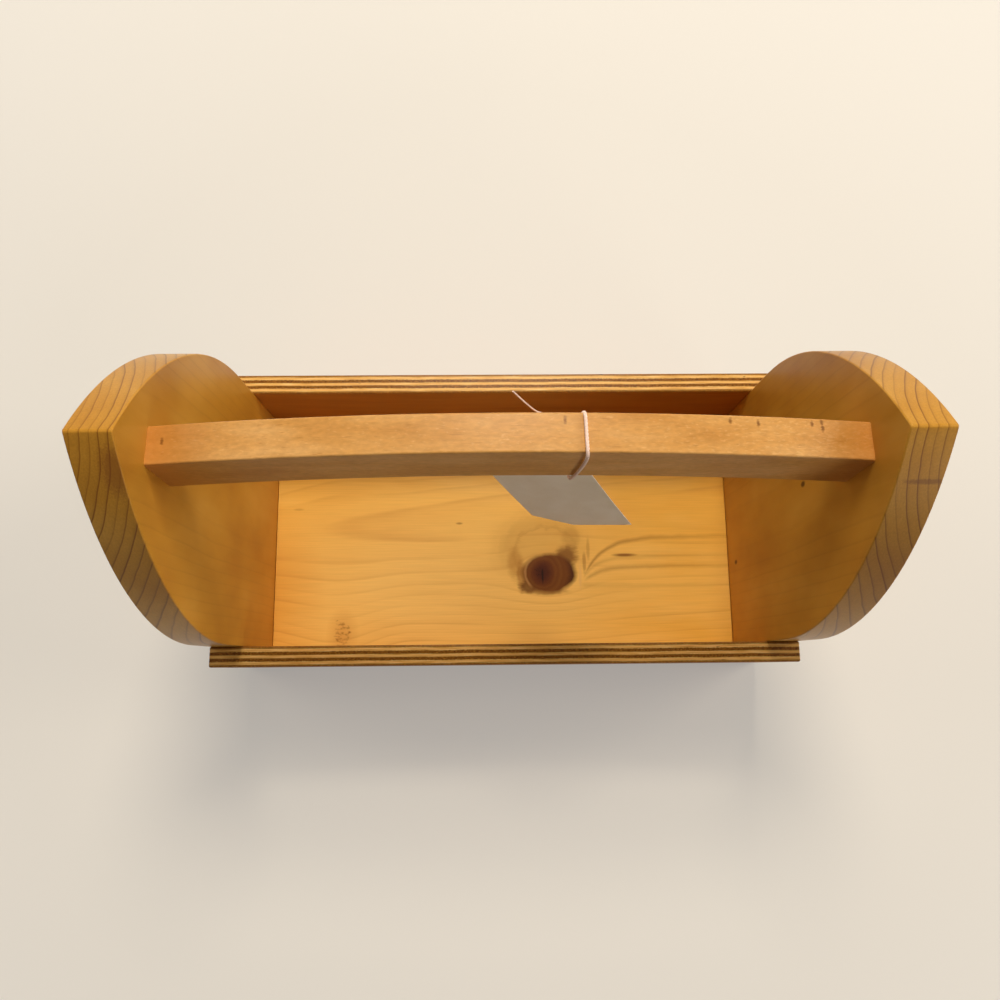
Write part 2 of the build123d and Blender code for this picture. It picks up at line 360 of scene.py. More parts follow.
def knot_swirls(tree, place):
    """Dark grain lines that sweep out of the knot's right end and settle along the board."""
    along = add_node(tree, "SeparateXYZ", {0: place})
    over = add_node(tree, "SeparateXYZ", {0: place}, out="Y")
    wave = grain(tree, place, (12, 9, 30))
    lines = 0.0
    for start, first, last, length, depth in (
        (55.0, -30.2, -4.7, 13.3, 0.62),
        (55.0, -33.7, -24.7, 11.0, 0.4),
        (54.0, -32.2, -18.2, 9.0, 0.25),
        (52.0, -37.2, -37.6, 10.0, 0.2),
    ):
        run = add_node(
            tree, "Math", {0: along, 1: -1 / length, 2: start / length}, operation="MULTIPLY_ADD"
        )
        fall = add_node(tree, "Math", {0: run}, operation="EXPONENT")
        level = add_node(tree, "Math", {0: fall, 1: first - last, 2: last}, operation="MULTIPLY_ADD")
        waved = add_node(tree, "Math", {0: wave, 1: 2.4, 2: level}, operation="MULTIPLY_ADD")
        apart = add_node(tree, "Math", {0: over, 1: waved}, operation="SUBTRACT")
        gap = add_node(tree, "Math", {0: apart}, operation="ABSOLUTE")
        slim = add_node(tree, "MapRange", {0: gap, 1: 0.0, 2: 2.3, 3: depth, 4: 0.0})
        begun = add_node(tree, "MapRange", {0: along, 1: start - 1, 2: start + 3})
        ending = add_node(tree, "MapRange", {0: along, 1: start + 10, 2: 152.0, 3: 1.0, 4: 0.35})
        kept = add_node(tree, "Math", {0: slim, 1: begun}, operation="MULTIPLY")
        line = add_node(tree, "Math", {0: kept, 1: ending}, operation="MULTIPLY")
        lines = add_node(tree, "Math", {0: lines, 1: line}, operation="MAXIMUM")
    return lines


def floor_knot(tree, place, colour):
    """A sound knot: an off-centre red-brown core with cracks, a pale rim to its left, dark bark."""
    speck = grain(tree, place, (3.4, 0.9, 30), 4.0)
    fine = grain(tree, place, (0.9, 0.9, 30), 2.0)
    wobble = grain(tree, place, (9, 9, 30), 2.0)
    fray = add_node(tree, "Math", {0: speck, 1: 0.5, 2: wobble}, operation="MULTIPLY_ADD")
    halo_away = reach_from(tree, place, (27.5, -15.0), (19.0, 18.0))
    halo_shift = add_node(tree, "Math", {0: halo_away, 1: -0.15}, operation="ADD")
    halo_edge = add_node(tree, "Math", {0: fray, 1: 0.55, 2: halo_shift}, operation="MULTIPLY_ADD")
    halo = add_node(
        tree,
        "ValToRGB",
        {0: add_node(tree, "MapRange", {0: halo_edge, 2: 3.0})},
        stops={
            0.3: 0.24, 0.42: 0.28, 0.45: 0.46, 0.49: 0.3, 0.58: 0.34,
            0.63: 0.2, 0.70: 0.2, 0.75: 0.08, 0.84: 0.0,
        },
    )
    halo_side = reach_from(tree, place, (23.0, -8.0), (36.0, 25.0))
    halo_mask = add_node(tree, "MapRange", {0: halo_side, 1: 0.55, 2: 1.15, 3: 1.0, 4: 0.0})
    halo_shown = add_node(tree, "Math", {0: halo, 1: halo_mask}, operation="MULTIPLY")
    colour = add_node(tree, "Mix", {0: halo_shown, 6: colour, 7: "#99702c"}, out=2, data_type="RGBA")
    fade = {"fray": fray, "ragged": 0.7, "interpolation_type": "SMOOTHSTEP"}
    for centre, size, depth, shade in (
        ((8.0, -21.0), (6.0, 13.0), 0.45, "#a4702a"),
        ((46.0, -4.0), (6.5, 9.0), 0.26, "#8f6422"),
        ((34.0, -10.0), (6.5, 3.6), 0.5, "#d9aa56"),
        ((42.6, -16.5), (8.6, 8.0), 0.85, "#734616"),
        ((12.4, -29.0), (4.0, 11.5), 0.6, "#8f5b20"),
        ((17.0, -36.5), (7.0, 5.0), 0.85, "#5e340e"),
        ((30.0, -40.0), (15.0, 2.6), 0.6, "#6e4214"),
        ((51.8, -29.5), (1.2, 10.5), 0.7, "#dfb16a"),
        ((54.8, -21.0), (1.5, 8.0), 0.45, "#84521e"),
        ((57.6, -12.0), (1.4, 9.0), 0.35, "#8f5c22"),
    ):
        colour = stain_spot(tree, place, colour, shade, centre, size, depth, (1.0, 1.7), **fade)

    core_away = reach_from(tree, place, core_middle, core_size)
    core_edge = add_node(tree, "Math", {0: wobble, 1: 0.3, 2: core_away}, operation="MULTIPLY_ADD")
    core = add_node(tree, "Math", {0: core_edge, 1: -0.15}, operation="ADD")
    rings = add_node(tree, "Math", {0: fine, 1: 0.16, 2: core}, operation="MULTIPLY_ADD")
    knot_wood = add_node(
        tree,
        "ValToRGB",
        {0: add_node(tree, "Math", {0: rings, 1: 0.45}, operation="MULTIPLY")},
        stops={
            0.0: "#3c1606", 0.2: "#4a1f0a", 0.36: "#60320f", 0.43: "#6f4014", 0.48: "#653810",
            0.58: "#724316", 0.65: "#673a10", 0.72: "#6b3d13", 0.9: "#4a2608",
        },
    )
    knot_away = reach_from(tree, place, knot_middle, knot_size)
    knot_edge = add_node(tree, "Math", {0: wobble, 1: 0.24, 2: knot_away}, operation="MULTIPLY_ADD")
    knot_mask = add_node(tree, "MapRange", {0: knot_edge, 1: 0.98, 2: 1.18, 3: 1.0, 4: 0.0})
    colour = add_node(tree, "Mix", {0: knot_mask, 6: colour, 7: knot_wood}, out=2, data_type="RGBA")

    left_side = reach_from(tree, place, (13.0, -27.0), (10.0, 14.0))
    left_mask = add_node(tree, "MapRange", {0: left_side, 1: 0.7, 2: 1.05, 3: 1.0, 4: 0.0})
    off_rim = add_node(tree, "Math", {0: core, 1: -1.1}, operation="ADD")
    rim_gap = add_node(tree, "Math", {0: off_rim}, operation="ABSOLUTE")
    rim_line = add_node(tree, "MapRange", {0: rim_gap, 1: 0.02, 2: 0.12, 3: 0.6, 4: 0.0})
    crescent = add_node(tree, "Math", {0: rim_line, 1: left_mask}, operation="MULTIPLY")
    colour = add_node(tree, "Mix", {0: crescent, 6: colour, 7: "#b98c52"}, out=2, data_type="RGBA")

    crack_away = reach_from(tree, place, (23.5, -27.0), (7.5, 6.0))
    crack_room = add_node(tree, "MapRange", {0: crack_away, 1: 0.4, 2: 1.0, 3: 0.4, 4: 0.0})
    crack_cut = add_node(tree, "Math", {0: fine, 1: crack_room}, operation="ADD")
    cracks = add_node(tree, "MapRange", {0: crack_cut, 1: 0.96, 2: 1.02, 3: 0.0, 4: 0.9})
    split_away = reach_from(tree, place, (26.6, -29.5), (0.8, 6.0))
    split_edge = add_node(tree, "Math", {0: fine, 1: 0.8, 2: split_away}, operation="MULTIPLY_ADD")
    split = add_node(tree, "MapRange", {0: split_edge, 1: 0.9, 2: 1.5, 3: 0.85, 4: 0.0})
    open_wood = add_node(tree, "Math", {0: cracks, 1: split}, operation="MAXIMUM")
    return add_node(tree, "Mix", {0: open_wood, 6: colour, 7: "#1c0a03"}, out=2, data_type="RGBA")


def floor_pine():
    """Varnished pine with soft grain, fine fibres along the board, and its knots and marks."""
    material, tree, place = start_material("varnished_pine_floor")
    cloud = grain(tree, place, (110, 38, 38))
    body = add_node(
        tree, "ValToRGB", {0: cloud}, stops={0.3: "#daa03e", 0.5: "#e2ad4b", 0.7: "#e8b85d"}
    )
    fibre = grain(tree, place, (30, 0.7, 0.7))
    sapwood, left_end_bounce = (-52.0, -38.0), (-163.0, -48.0)
    body = stain_spot(tree, place, body, "#f0c878", sapwood, (165.0, 85.0), 0.75, (0.2, 1.1))
    # Painted light: an orange glow of light bounced off the left end board, laid on the floor along
    # that end.
    body = stain_spot(tree, place, body, "#d68f2c", left_end_bounce, (46.0, 78.0), 0.6, (0.25, 1.0))
    streak = add_node(tree, "MapRange", {0: fibre, 1: 0.3, 2: 0.7, 3: 0.95, 4: 1.04})
    streaked = add_node(tree, "VectorMath", {0: body, "Scale": streak}, operation="SCALE")
    line = floor_grain(tree, place)
    colour = add_node(tree, "Mix", {0: line, 6: streaked, 7: "#a9662a"}, out=2, data_type="RGBA")
    swirl = knot_swirls(tree, place)
    colour = add_node(tree, "Mix", {0: swirl, 6: colour, 7: "#84521e"}, out=2, data_type="RGBA")
    colour = floor_knot(tree, place, colour)

    speck = grain(tree, place, (2.9, 1.7, 30), 3.0)
    pin_middle, pin_size = (-106.5, -66.5), (7.5, 12.0)
    colour = stain_spot(tree, place, colour, "#b97a30", pin_middle, pin_size, 0.42, (0.3, 1.5))
    pin_away = reach_from(tree, place, pin_middle, pin_size)
    pin_near = add_node(tree, "MapRange", {0: pin_away, 1: 0.6, 2: 1.3, 3: 0.45, 4: 0.0})
    pin_cut = add_node(tree, "Math", {0: speck, 1: pin_near}, operation="ADD")
    pins = add_node(tree, "MapRange", {0: pin_cut, 1: 0.9, 2: 1.16, 3: 0.0, 4: 0.8})
    colour = add_node(tree, "Mix", {0: pins, 6: colour, 7: "#7d4617"}, out=2, data_type="RGBA")

    for centre, size, depth in (
        ((82.0, -15.9), (9.0, 1.3), 0.85),
        ((-29.3, 6.5), (2.6, 0.9), 0.6),
        ((-138.0, 16.9), (4.0, 1.0), 0.25),
    ):
        colour = stain_spot(tree, place, colour, "#74421a", centre, size, depth, (0.4, 1.1))
    varnish(tree, colour, fibre, 0.00002)
    return material


bottom_low, bottom_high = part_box("bottom_board")
bottom_shape = box_mesh(bottom_low, bottom_high)
top_edges = [e for e in bottom_shape.edges if all(v.co.z > bottom_high.z - merge_gap for v in e.verts)]
ease_edges(bottom_shape, top_edges, bottom_ease, bottom_ease_steps)
bottom = add_piece("bottom", bottom_shape, floor_pine(), "caddy", "pine", "bottom_board")
flat_faces(bottom)

# Side panels: seven-ply plywood, with its edges eased and left to show their plies.
# The plies with upright grain show dark end grain on the top edge, the others long pale fibres.
# They cover the edges of the ends and of the bottom board, and are screwed to them.
panel_ease = 0.001


def plywood(name, middle):
    """Varnished birch plywood: plain rotary-cut faces, and edges of pale and dark plies."""
    material, tree, place = start_material(name)
    over = add_node(tree, "SeparateXYZ", {0: place}, out="Y")
    facing = add_node(tree, "TexCoord", {}, out="Normal")
    outward = add_node(tree, "SeparateXYZ", {0: facing}, out="Y")
    rough = grain(tree, place, (24, 60, 24), 4.0)
    inward = add_node(tree, "Math", {0: over, 1: -middle}, operation="ADD")
    bent = add_node(tree, "Math", {0: rough, 1: 0.9, 2: inward}, operation="MULTIPLY_ADD")
    centred = add_node(tree, "Math", {0: bent, 1: -0.45}, operation="ADD")
    depth = add_node(tree, "Math", {0: centred}, operation="ABSOLUTE")
    pore = grain(tree, place, (0.9, 0.6, 0.9), 2.0)
    ragged = add_node(tree, "Math", {0: pore, 1: 0.7, 2: depth}, operation="MULTIPLY_ADD")
    deep = add_node(tree, "MapRange", {0: ragged, 1: 0.35, 2: 6.35})
    dark_ply = add_node(
        tree,
        "ValToRGB",
        {0: deep},
        stops={0.10: 0.0, 0.18: 1.0, 0.42: 1.0, 0.50: 0.0, 0.71: 0.0, 0.79: 0.85, 1.0: 0.85},
    )
    fibre = grain(tree, place, (14, 0.5, 0.7))
    pale = add_node(
        tree, "ValToRGB", {0: fibre}, stops={0.3: "#c39048", 0.5: "#e0b062", 0.7: "#f1cd8c"}
    )
    dark = add_node(
        tree, "ValToRGB", {0: pore}, stops={0.3: "#522c06", 0.5: "#7c4c10", 0.75: "#a8722c"}
    )
    edge = add_node(tree, "Mix", {0: dark_ply, 6: pale, 7: dark}, out=2, data_type="RGBA")
    gap = grain(tree, place, (7, 1.1, 3), 2.0)
    void = add_node(tree, "MapRange", {0: gap, 1: 0.74, 2: 0.78, 3: 0.0, 4: 0.8})
    gapped = add_node(tree, "Mix", {0: void, 6: edge, 7: "#2c1604"}, out=2, data_type="RGBA")
    veneer_map = add_node(tree, "Mapping", {0: place, "Scale": (1 / 130, 1 / 20, 1 / 16)})
    veneer = add_node(
        tree, "TexNoise", {"Vector": veneer_map, "Scale": 1.0, "Detail": 4.0, "Distortion": 0.6}
    )
    face = add_node(
        tree,
        "ValToRGB",
        {0: veneer},
        stops={0.3: "#a8692a", 0.5: "#b67834", 0.62: "#ac6e2e", 0.75: "#c0853f"},
    )
    broad = add_node(tree, "Math", {0: outward}, operation="ABSOLUTE")
    on_face = add_node(tree, "MapRange", {0: broad, 1: 0.8, 2: 0.95})
    colour = add_node(tree, "Mix", {0: on_face, 6: gapped, 7: face}, out=2, data_type="RGBA")
    varnish(tree, colour, fibre, 0.00004)
    return material


panels = {}
for side in ("front", "back"):
    panel_low, panel_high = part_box(side + "_side_panel")
    panel_shape = box_mesh(panel_low, panel_high)
    ease_edges(panel_shape, panel_shape.edges[:], panel_ease, ease_steps)
    panels[side] = add_piece(
        side + "_side",
        panel_shape,
        plywood("birch_plywood_" + side, 500 * (panel_low.y + panel_high.y)),
        "caddy",
        "plywood",
        side + "_side_panel",
    )

# Handle: an arched bar of pale hardwood between the two ends, eased along its long edges.
# Its fine grain shows as short flecks along the bar, with a few small dark marks near the back edge.
# It leans back a little, and two screws through each end board hold it.
handle_width = 0.0175
handle_depth = 0.03175
handle_rise = 0.0136
handle_round = 0.001
handle_steps = 64
handle_place = Matrix.Translation((0, 0.0013, 0.2308)) @ Matrix.Rotation(math.radians(-4.5), 4, "X")


def handle_mesh():
    """Sweeps the top arc, drops it by the handle's depth, gives it its width and leans it back."""
    half_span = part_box("handle")[1].x
    curve = (half_span**2 + handle_rise**2) / (2 * handle_rise)
    front, top = -handle_width / 2, handle_depth / 2
    bar = bmesh.new()
    start = bar.verts.new((-half_span, front, top))
    bmesh.ops.spin(
        bar,
        geom=[start],
        cent=(0, front, top + handle_rise - curve),
        axis=(0, 1, 0),
        angle=2 * math.asin(half_span / curve),
        steps=handle_steps,
    )
    lower = bmesh.ops.extrude_edge_only(bar, edges=bar.edges[:])["geom"]
    bmesh.ops.translate(
        bar, verts=[v for v in lower if isinstance(v, bmesh.types.BMVert)], vec=(0, 0, -handle_depth)
    )
    wide = bmesh.ops.extrude_face_region(bar, geom=bar.faces[:])["geom"]
    bmesh.ops.translate(
        bar, verts=[v for v in wide if isinstance(v, bmesh.types.BMVert)], vec=(0, handle_width, 0)
    )
    bmesh.ops.recalc_face_normals(bar, faces=bar.faces[:])
    long_edges = [
        e
        for e in bar.edges
        if any(abs(f.normal.y) > 0.9 for f in e.link_faces)
        and any(abs(f.normal.z) > 0.5 for f in e.link_faces)
    ]
    ease_edges(bar, long_edges, handle_round, ease_steps)
    bmesh.ops.transform(bar, matrix=handle_place, verts=bar.verts[:])
    return bar


def handle_wood():
    """Beech-like hardwood: even pinkish tan with short darker flecks and small bright ones."""
    material, tree, place = start_material("varnished_hardwood")
    along = add_node(tree, "SeparateXYZ", {0: place})
    cloud = grain(tree, place, (60, 14, 14))
    body = add_node(
        tree, "ValToRGB", {0: cloud}, stops={0.3: "#ba8442", 0.5: "#c89553", 0.7: "#d4a66a"}
    )
    fleck = grain(tree, place, (3.2, 1.4, 1.4), 4.0)
    tone = add_node(tree, "MapRange", {0: fleck, 1: 0.3, 2: 0.7, 3: 0.89, 4: 1.08})
    colour = add_node(tree, "VectorMath", {0: body, "Scale": tone}, operation="SCALE")
    dash = grain(tree, place, (9, 0.6, 0.6), 2.0)
    dashes = add_node(tree, "MapRange", {0: dash, 1: 0.62, 2: 0.74, 3: 0.0, 4: 0.45})
    colour = add_node(tree, "Mix", {0: dashes, 6: colour, 7: "#a06a34"}, out=2, data_type="RGBA")
    glint = grain(tree, place, (2.6, 0.8, 0.8), 2.0)
    toward = add_node(tree, "MapRange", {0: along, 1: 20.0, 2: 130.0, 3: 0.62, 4: 0.54})
    proud = add_node(tree, "Math", {0: glint, 1: toward}, operation="SUBTRACT")
    glints = add_node(tree, "MapRange", {0: proud, 1: 0.0, 2: 0.1, 3: 0.0, 4: 0.2})
    colour = add_node(tree, "Mix", {0: glints, 6: colour, 7: "#edc78e"}, out=2, data_type="RGBA")
    reach = add_node(tree, "Math", {0: along}, operation="ABSOLUTE")
    blotch = add_node(tree, "Math", {0: cloud, 1: 26.0, 2: reach}, operation="MULTIPLY_ADD")
    ends = add_node(tree, "MapRange", {0: blotch, 1: 135.0, 2: 160.0, 3: 0.0, 4: 0.5})
    colour = add_node(tree, "Mix", {0: ends, 6: colour, 7: "#bd772c"}, out=2, data_type="RGBA")
    end_level, rise, half_span = 246.0, 13.6, 152.4
    marks = [(-145.4, 4.0), (21.4, 8.7), (90.0, 9.3), (102.0, 8.6)]
    marks += [(125.6, 9.1), (129.9, 9.9), (130.2, 7.2)]
    size, edge = (1.1, 2.2, 3.0), (0.9, 1.5)
    for mark_x, mark_y in marks:
        mark = (mark_x, mark_y, end_level + rise * (1 - (mark_x / half_span) ** 2))
        colour = stain_spot(tree, place, colour, "#6b3d16", mark, size, 0.75, edge, glint, 1.2)
    varnish(tree, colour, fleck, 0.00004)
    return material


handle = add_piece("grip", handle_mesh(), handle_wood(), "caddy", "handle_wood", "handle")
flat_faces(handle)

# Screws: zinc-plated countersunk wood screws with a cross recess, driven just below the surface.
# They hold every joint of the caddy: panels to ends, panels and ends to the bottom, ends to handle.
# Each one sits in a countersink in the outer face of its board.
head_land = 0.0003
head_ease = 0.0004
head_ease_depth = 0.00012
tip_length = 0.005
tip_radius = 0.0004
recess_taper = (0.45, 0.75, 1)
sink_angle = math.radians(82)
sink_room = 0.00012
sink_proud = 0.001
below_face = 0.0002
screw_steps = 32
panel_screw = {"length": 0.03175, "shank": 0.00175, "head": 0.0035}
board_screw = {"length": 0.0381, "shank": 0.0021, "head": 0.0042}
screw_inset = 0.016
floor_pitch = 0.11
end_pitch = 0.09
handle_pitch = 0.015
first_turn = 0.4
turn_with_height = 90.0


def lathe(profile):
    """Turns a profile of radius and height points about the Z axis."""
    turned = bmesh.new()
    points = [turned.verts.new((radius, 0, height)) for radius, height in profile]
    edges = [turned.edges.new(pair) for pair in zip(points, points[1:])]
    bmesh.ops.spin(
        turned,
        geom=points + edges,
        cent=(0, 0, 0),
        axis=(0, 0, 1),
        angle=2 * math.pi,
        steps=screw_steps,
        use_merge=True,
    )
    bmesh.ops.remove_doubles(turned, verts=turned.verts[:], dist=merge_gap)
    bmesh.ops.recalc_face_normals(turned, faces=turned.faces[:])
    return turned


def head_depth(screw):
    """How far a countersunk head reaches down to the shank."""
    return head_land + (screw["head"] - screw["shank"]) / math.tan(sink_angle / 2)


def carve(shape, cutter):
    """Cuts one shape out of another, and frees both."""
    holders = []
    for part in (shape, cutter):
        mesh = bpy.data.meshes.new("carving")
        part.to_mesh(mesh)
        part.free()
        holders.append(bpy.data.objects.new("carving", mesh))
        bpy.context.scene.collection.objects.link(holders[-1])
    cut = holders[0].modifiers.new("cut", "BOOLEAN")
    cut.object = holders[1]
    cut.operation = "DIFFERENCE"
    cut.solver = "EXACT"
    graph = bpy.context.evaluated_depsgraph_get()
    carved = bmesh.new()
    carved.from_object(holders[0], graph)
    for holder in holders:
        mesh = holder.data
        bpy.data.objects.remove(holder)
        bpy.data.meshes.remove(mesh)
    return carved


def screw_mesh(screw):
    """Turns the head, shank and tip, and cuts the cross recess with one wedge and then another."""
    head, shank, length = screw["head"], screw["shank"], screw["length"]
    body = lathe(
        [
            (0, 0),
            (head - head_ease, 0),
            (head, -head_ease_depth),
            (head, -head_land),
            (shank, -head_depth(screw)),
            (shank, tip_length - length),
            (tip_radius, -length),
            (0, -length),
        ]
    )
    arm, slim, deep = 1.15 * head, 0.27 * head, 0.5 * head
    for turn in (0, math.pi / 2):
        wedge = bmesh.new()
        bmesh.ops.create_cube(wedge, size=1.0)
        bmesh.ops.scale(wedge, verts=wedge.verts[:], vec=(arm, slim, 2 * deep))
        narrow = [v for v in wedge.verts if v.co.z < 0]
        bmesh.ops.scale(wedge, verts=narrow, vec=recess_taper)
        bmesh.ops.rotate(
            wedge, verts=wedge.verts[:], cent=(0, 0, 0), matrix=Matrix.Rotation(turn, 3, "Z")
        )
        body = carve(body, wedge)
    return body


def sink_mesh(screw):
    """The countersink that takes a screw's head, reaching out past the face."""
    head, shank = screw["head"] + sink_room, screw["shank"] + sink_room
    bottom = -head_depth(screw) - below_face
    profile = [(0, sink_proud), (head, sink_proud), (head, -head_land), (shank, bottom), (0, bottom)]
    return lathe(profile)


def at_each(shape, places):
    """Copies a shape to each of its places."""
    model = bpy.data.meshes.new("model")
    shape.to_mesh(model)
    shape.free()
    copies = bmesh.new()
    for place in places:
        before = len(copies.verts)
        copies.from_mesh(model)
        copies.verts.ensure_lookup_table()
        bmesh.ops.transform(copies, matrix=place, verts=copies.verts[before:])
    bpy.data.meshes.remove(model)
    return copies


def drive_place(point, out, turn):
    """A screw's place: its head at a point on a face, facing out of the wood, turned a little."""
    facing = Vector(out).to_track_quat("Z", "Y").to_matrix().to_4x4()
    seat = Vector(point) - below_face * Vector(out)
    return Matrix.Translation(seat) @ facing @ Matrix.Rotation(turn, 4, "Z")


def zinc_steel():
    """Zinc-plated steel: a cool bright metal, a little dull and scuffed by the driver."""
    material, tree, place = start_material("zinc_plated_steel")
    scuff = grain(tree, place, (0.8, 0.8, 0.8))
    colour = add_node(tree, "ValToRGB", {0: scuff}, stops={0.3: "#a39f94", 0.7: "#cfccc3"})
    rough = add_node(tree, "MapRange", {0: scuff, 3: 0.26, 4: 0.52})
    skin = add_node(tree, "BsdfPrincipled", {"Base Color": colour, "Metallic": 1.0, "Roughness": rough})
    add_node(tree, "OutputMaterial", {"Surface": skin})
    return material


bottom_middle = bottom_high.z / 2
end_middle = (right_low.x + right_high.x) / 2
screw_places = {"left": {}, "right": {}, "front": {}, "back": {}}
for end, name in ((-1, "left"), (1, "right")):
    screw_places[name]["floor"] = [
        drive_place(
            (end * right_high.x, step * end_pitch / 2, bottom_middle), (end, 0, 0), first_turn + step
        )
        for step in (-1, 1)
    ]
    screw_places[name]["handle"] = [
        drive_place(
            handle_place @ Vector((end * right_high.x, 0, step * handle_pitch / 2)),
            (end, 0, 0),
            first_turn - step,
        )
        for step in (-1, 1)
    ]
for side, name in ((-1, "front"), (1, "back")):
    screw_places[name]["floor"] = [
        drive_place(
            (step * floor_pitch, side * panel_high.y, bottom_middle), (0, side, 0), first_turn + step
        )
        for step in (-1, 0, 1)
    ]
    screw_places[name]["panel"] = [
        drive_place(
            (end * end_middle, side * panel_high.y, height),
            (0, side, 0),
            first_turn + end * height * turn_with_height,
        )
        for end in (-1, 1)
        for height in (bottom_high.z + screw_inset, panel_high.z - screw_inset)
    ]

steel = zinc_steel()
boards = {"left": left_end, "right": right_end, "front": panels["front"], "back": panels["back"]}
for name, board in boards.items():
    screw = board_screw if name in ("left", "right") else panel_screw
    whole = bmesh.new()
    whole.from_mesh(board.data)
    every_place = [place for places in screw_places[name].values() for place in places]
    sunk = carve(whole, at_each(sink_mesh(screw), every_place))
    sunk.to_mesh(board.data)
    sunk.free()
    board.data.set_sharp_from_angle(angle=sharp_angle)
    flat_faces(board)
    for joint, places in screw_places[name].items():
        node = f"{name}_{joint}_screws"
        driven = at_each(screw_mesh(screw), places)
        flat_faces(add_piece(node + "_driven", driven, steel, "caddy", "screw_steel", node))

# String: soft pinkish-white cotton, three yarns twisted together, tied round the handle with a knot
# behind it. It goes over the handle, down its front, through the tag's hole and up to the knot.
# A thin thread end stands out from the knot.
yarn_count = 3
yarn_pitch = 0.0046
yarn_offset = 0.00032
yarn_radius = 0.00047
thread_diameter = 0.0007
knot_place = Vector((0.0294, 0.01377, 0.24584))
knot_scale = 0.00046
knot_cord = 0.0007
knot_steps = 96
knot_bulge = 1.6
route_steps = 40
yarn_round = 3
thread_round = 2
string_route = [
    (0.0294, 0.01385, 0.24694),
    (0.0295, 0.01388, 0.26041),
    (0.0297, 0.00366, 0.26118),
    (0.0300, -0.00676, 0.26235),
    (0.0300, -0.00740, 0.25500),
    (0.0288, -0.00800, 0.24145),
    (0.0262, -0.00902, 0.22771),
    (0.0269, -0.00480, 0.21392),
    (0.0273, -0.00300, 0.20612),
    (0.0279, 0.00360, 0.20612),
    (0.0288, 0.00720, 0.21392),
    (0.0293, 0.01082, 0.22616),
    (0.0294, 0.01368, 0.24474),
]
thread_route = [
    (0.0294, 0.01377, 0.24584),
    (0.0206, 0.01387, 0.24814),
    (0.0126, 0.01397, 0.25144),
    (0.0086, 0.01447, 0.25444),
    (0.0001, 0.01947, 0.26444),
]


def route_curve(name, route):
    """A curve of one smooth spline that has the route as its control points."""
    curve = bpy.data.curves.new(name, "CURVE")
    curve.dimensions = "3D"
    curve.resolution_u = route_steps
    spline = curve.splines.new("NURBS")
    spline.points.add(len(route) - 1)
    for point, place in zip(spline.points, route):
        point.co = (*place, 1.0)
    spline.order_u = 3
    spline.use_endpoint_u = True
    return curve


def curve_mesh(curve):
    """The mesh of a curve, which is removed."""
    holder = bpy.data.objects.new("route", curve)
    mesh = bpy.data.meshes.new_from_object(holder)
    bpy.data.objects.remove(holder)
    bpy.data.curves.remove(curve)
    return mesh


def smooth_line(route):
    """The points of the route's smooth spline."""
    line = curve_mesh(route_curve("route", route))
    points = [v.co.copy() for v in line.vertices]
    bpy.data.meshes.remove(line)
    return points


def twist_yarns(points, count, pitch, offset, radius):
    """Round yarns laid about a line of points, each turning once in every pitch."""
    curve = bpy.data.curves.new("yarns", "CURVE")
    curve.dimensions = "3D"
    curve.bevel_depth = radius
    curve.bevel_resolution = yarn_round
    curve.use_fill_caps = True
    last = len(points) - 1
    for yarn in range(count):
        spline = curve.splines.new("POLY")
        spline.points.add(last)
        side = (points[1] - points[0]).orthogonal().normalized()
        angle = 2 * math.pi * yarn / count
        for index, point in enumerate(points):
            ahead = (points[min(index + 1, last)] - points[max(index - 1, 0)]).normalized()
            side = (side - side.dot(ahead) * ahead).normalized()
            aside = Matrix.Rotation(angle, 3, ahead) @ side
            spline.points[index].co = (*(point + offset * aside), 1.0)
            angle += 2 * math.pi * (points[min(index + 1, last)] - point).length / pitch
    mesh = curve_mesh(curve)
    shape = bmesh.new()
    shape.from_mesh(mesh)
    bpy.data.meshes.remove(mesh)
    return shape


def cotton():
    """Soft cotton yarn: matt pinkish white, with fine fibres that catch the light at the edges."""
    material, tree, place = start_material("cotton_yarn")
    fuzz = grain(tree, place, (0.35, 0.35, 0.35), 2.0)
    colour = add_node(tree, "ValToRGB", {0: fuzz}, stops={0.3: "#e8c8bf", 0.7: "#fae8e2"})
    bump = add_node(tree, "Bump", {"Height": fuzz, "Strength": 0.6, "Distance": 0.0001})
    skin = add_node(
        tree,
        "BsdfPrincipled",
        {"Base Color": colour, "Roughness": 0.85, "Normal": bump, "Sheen Weight": 0.3},
    )
    add_node(tree, "OutputMaterial", {"Surface": skin})
    return material


cotton_yarn = cotton()
string_line = smooth_line(string_route)
string_shape = twist_yarns(string_line, yarn_count, yarn_pitch, yarn_offset, yarn_radius)
string = add_piece("string", string_shape, cotton_yarn, "caddy", "string", "tag_string")

knot_line = []
for step in range(knot_steps + 1):
    t = 2 * math.pi * step / knot_steps
    trefoil_x = math.sin(t) + 2 * math.sin(2 * t)
    trefoil_z = math.cos(t) - 2 * math.cos(2 * t)
    trefoil = Vector((trefoil_x, knot_bulge * math.sin(3 * t), trefoil_z))
    knot_line.append(knot_place + knot_scale * trefoil)
knot_shape = twist_yarns(knot_line, 1, yarn_pitch, 0.0, knot_cord)
knot = add_piece("knot", knot_shape, cotton_yarn, "caddy", "string", "string_knot")

thread_curve = route_curve("thread", thread_route)
thread_curve.bevel_depth = thread_diameter / 2
thread_curve.bevel_resolution = thread_round
thread_curve.use_fill_caps = True
thread_curve.materials.append(cotton_yarn)
thread = bpy.data.objects.new("thread", thread_curve)
bpy.context.scene.collection.objects.link(thread)
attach(thread, "caddy")
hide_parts("string_tail")

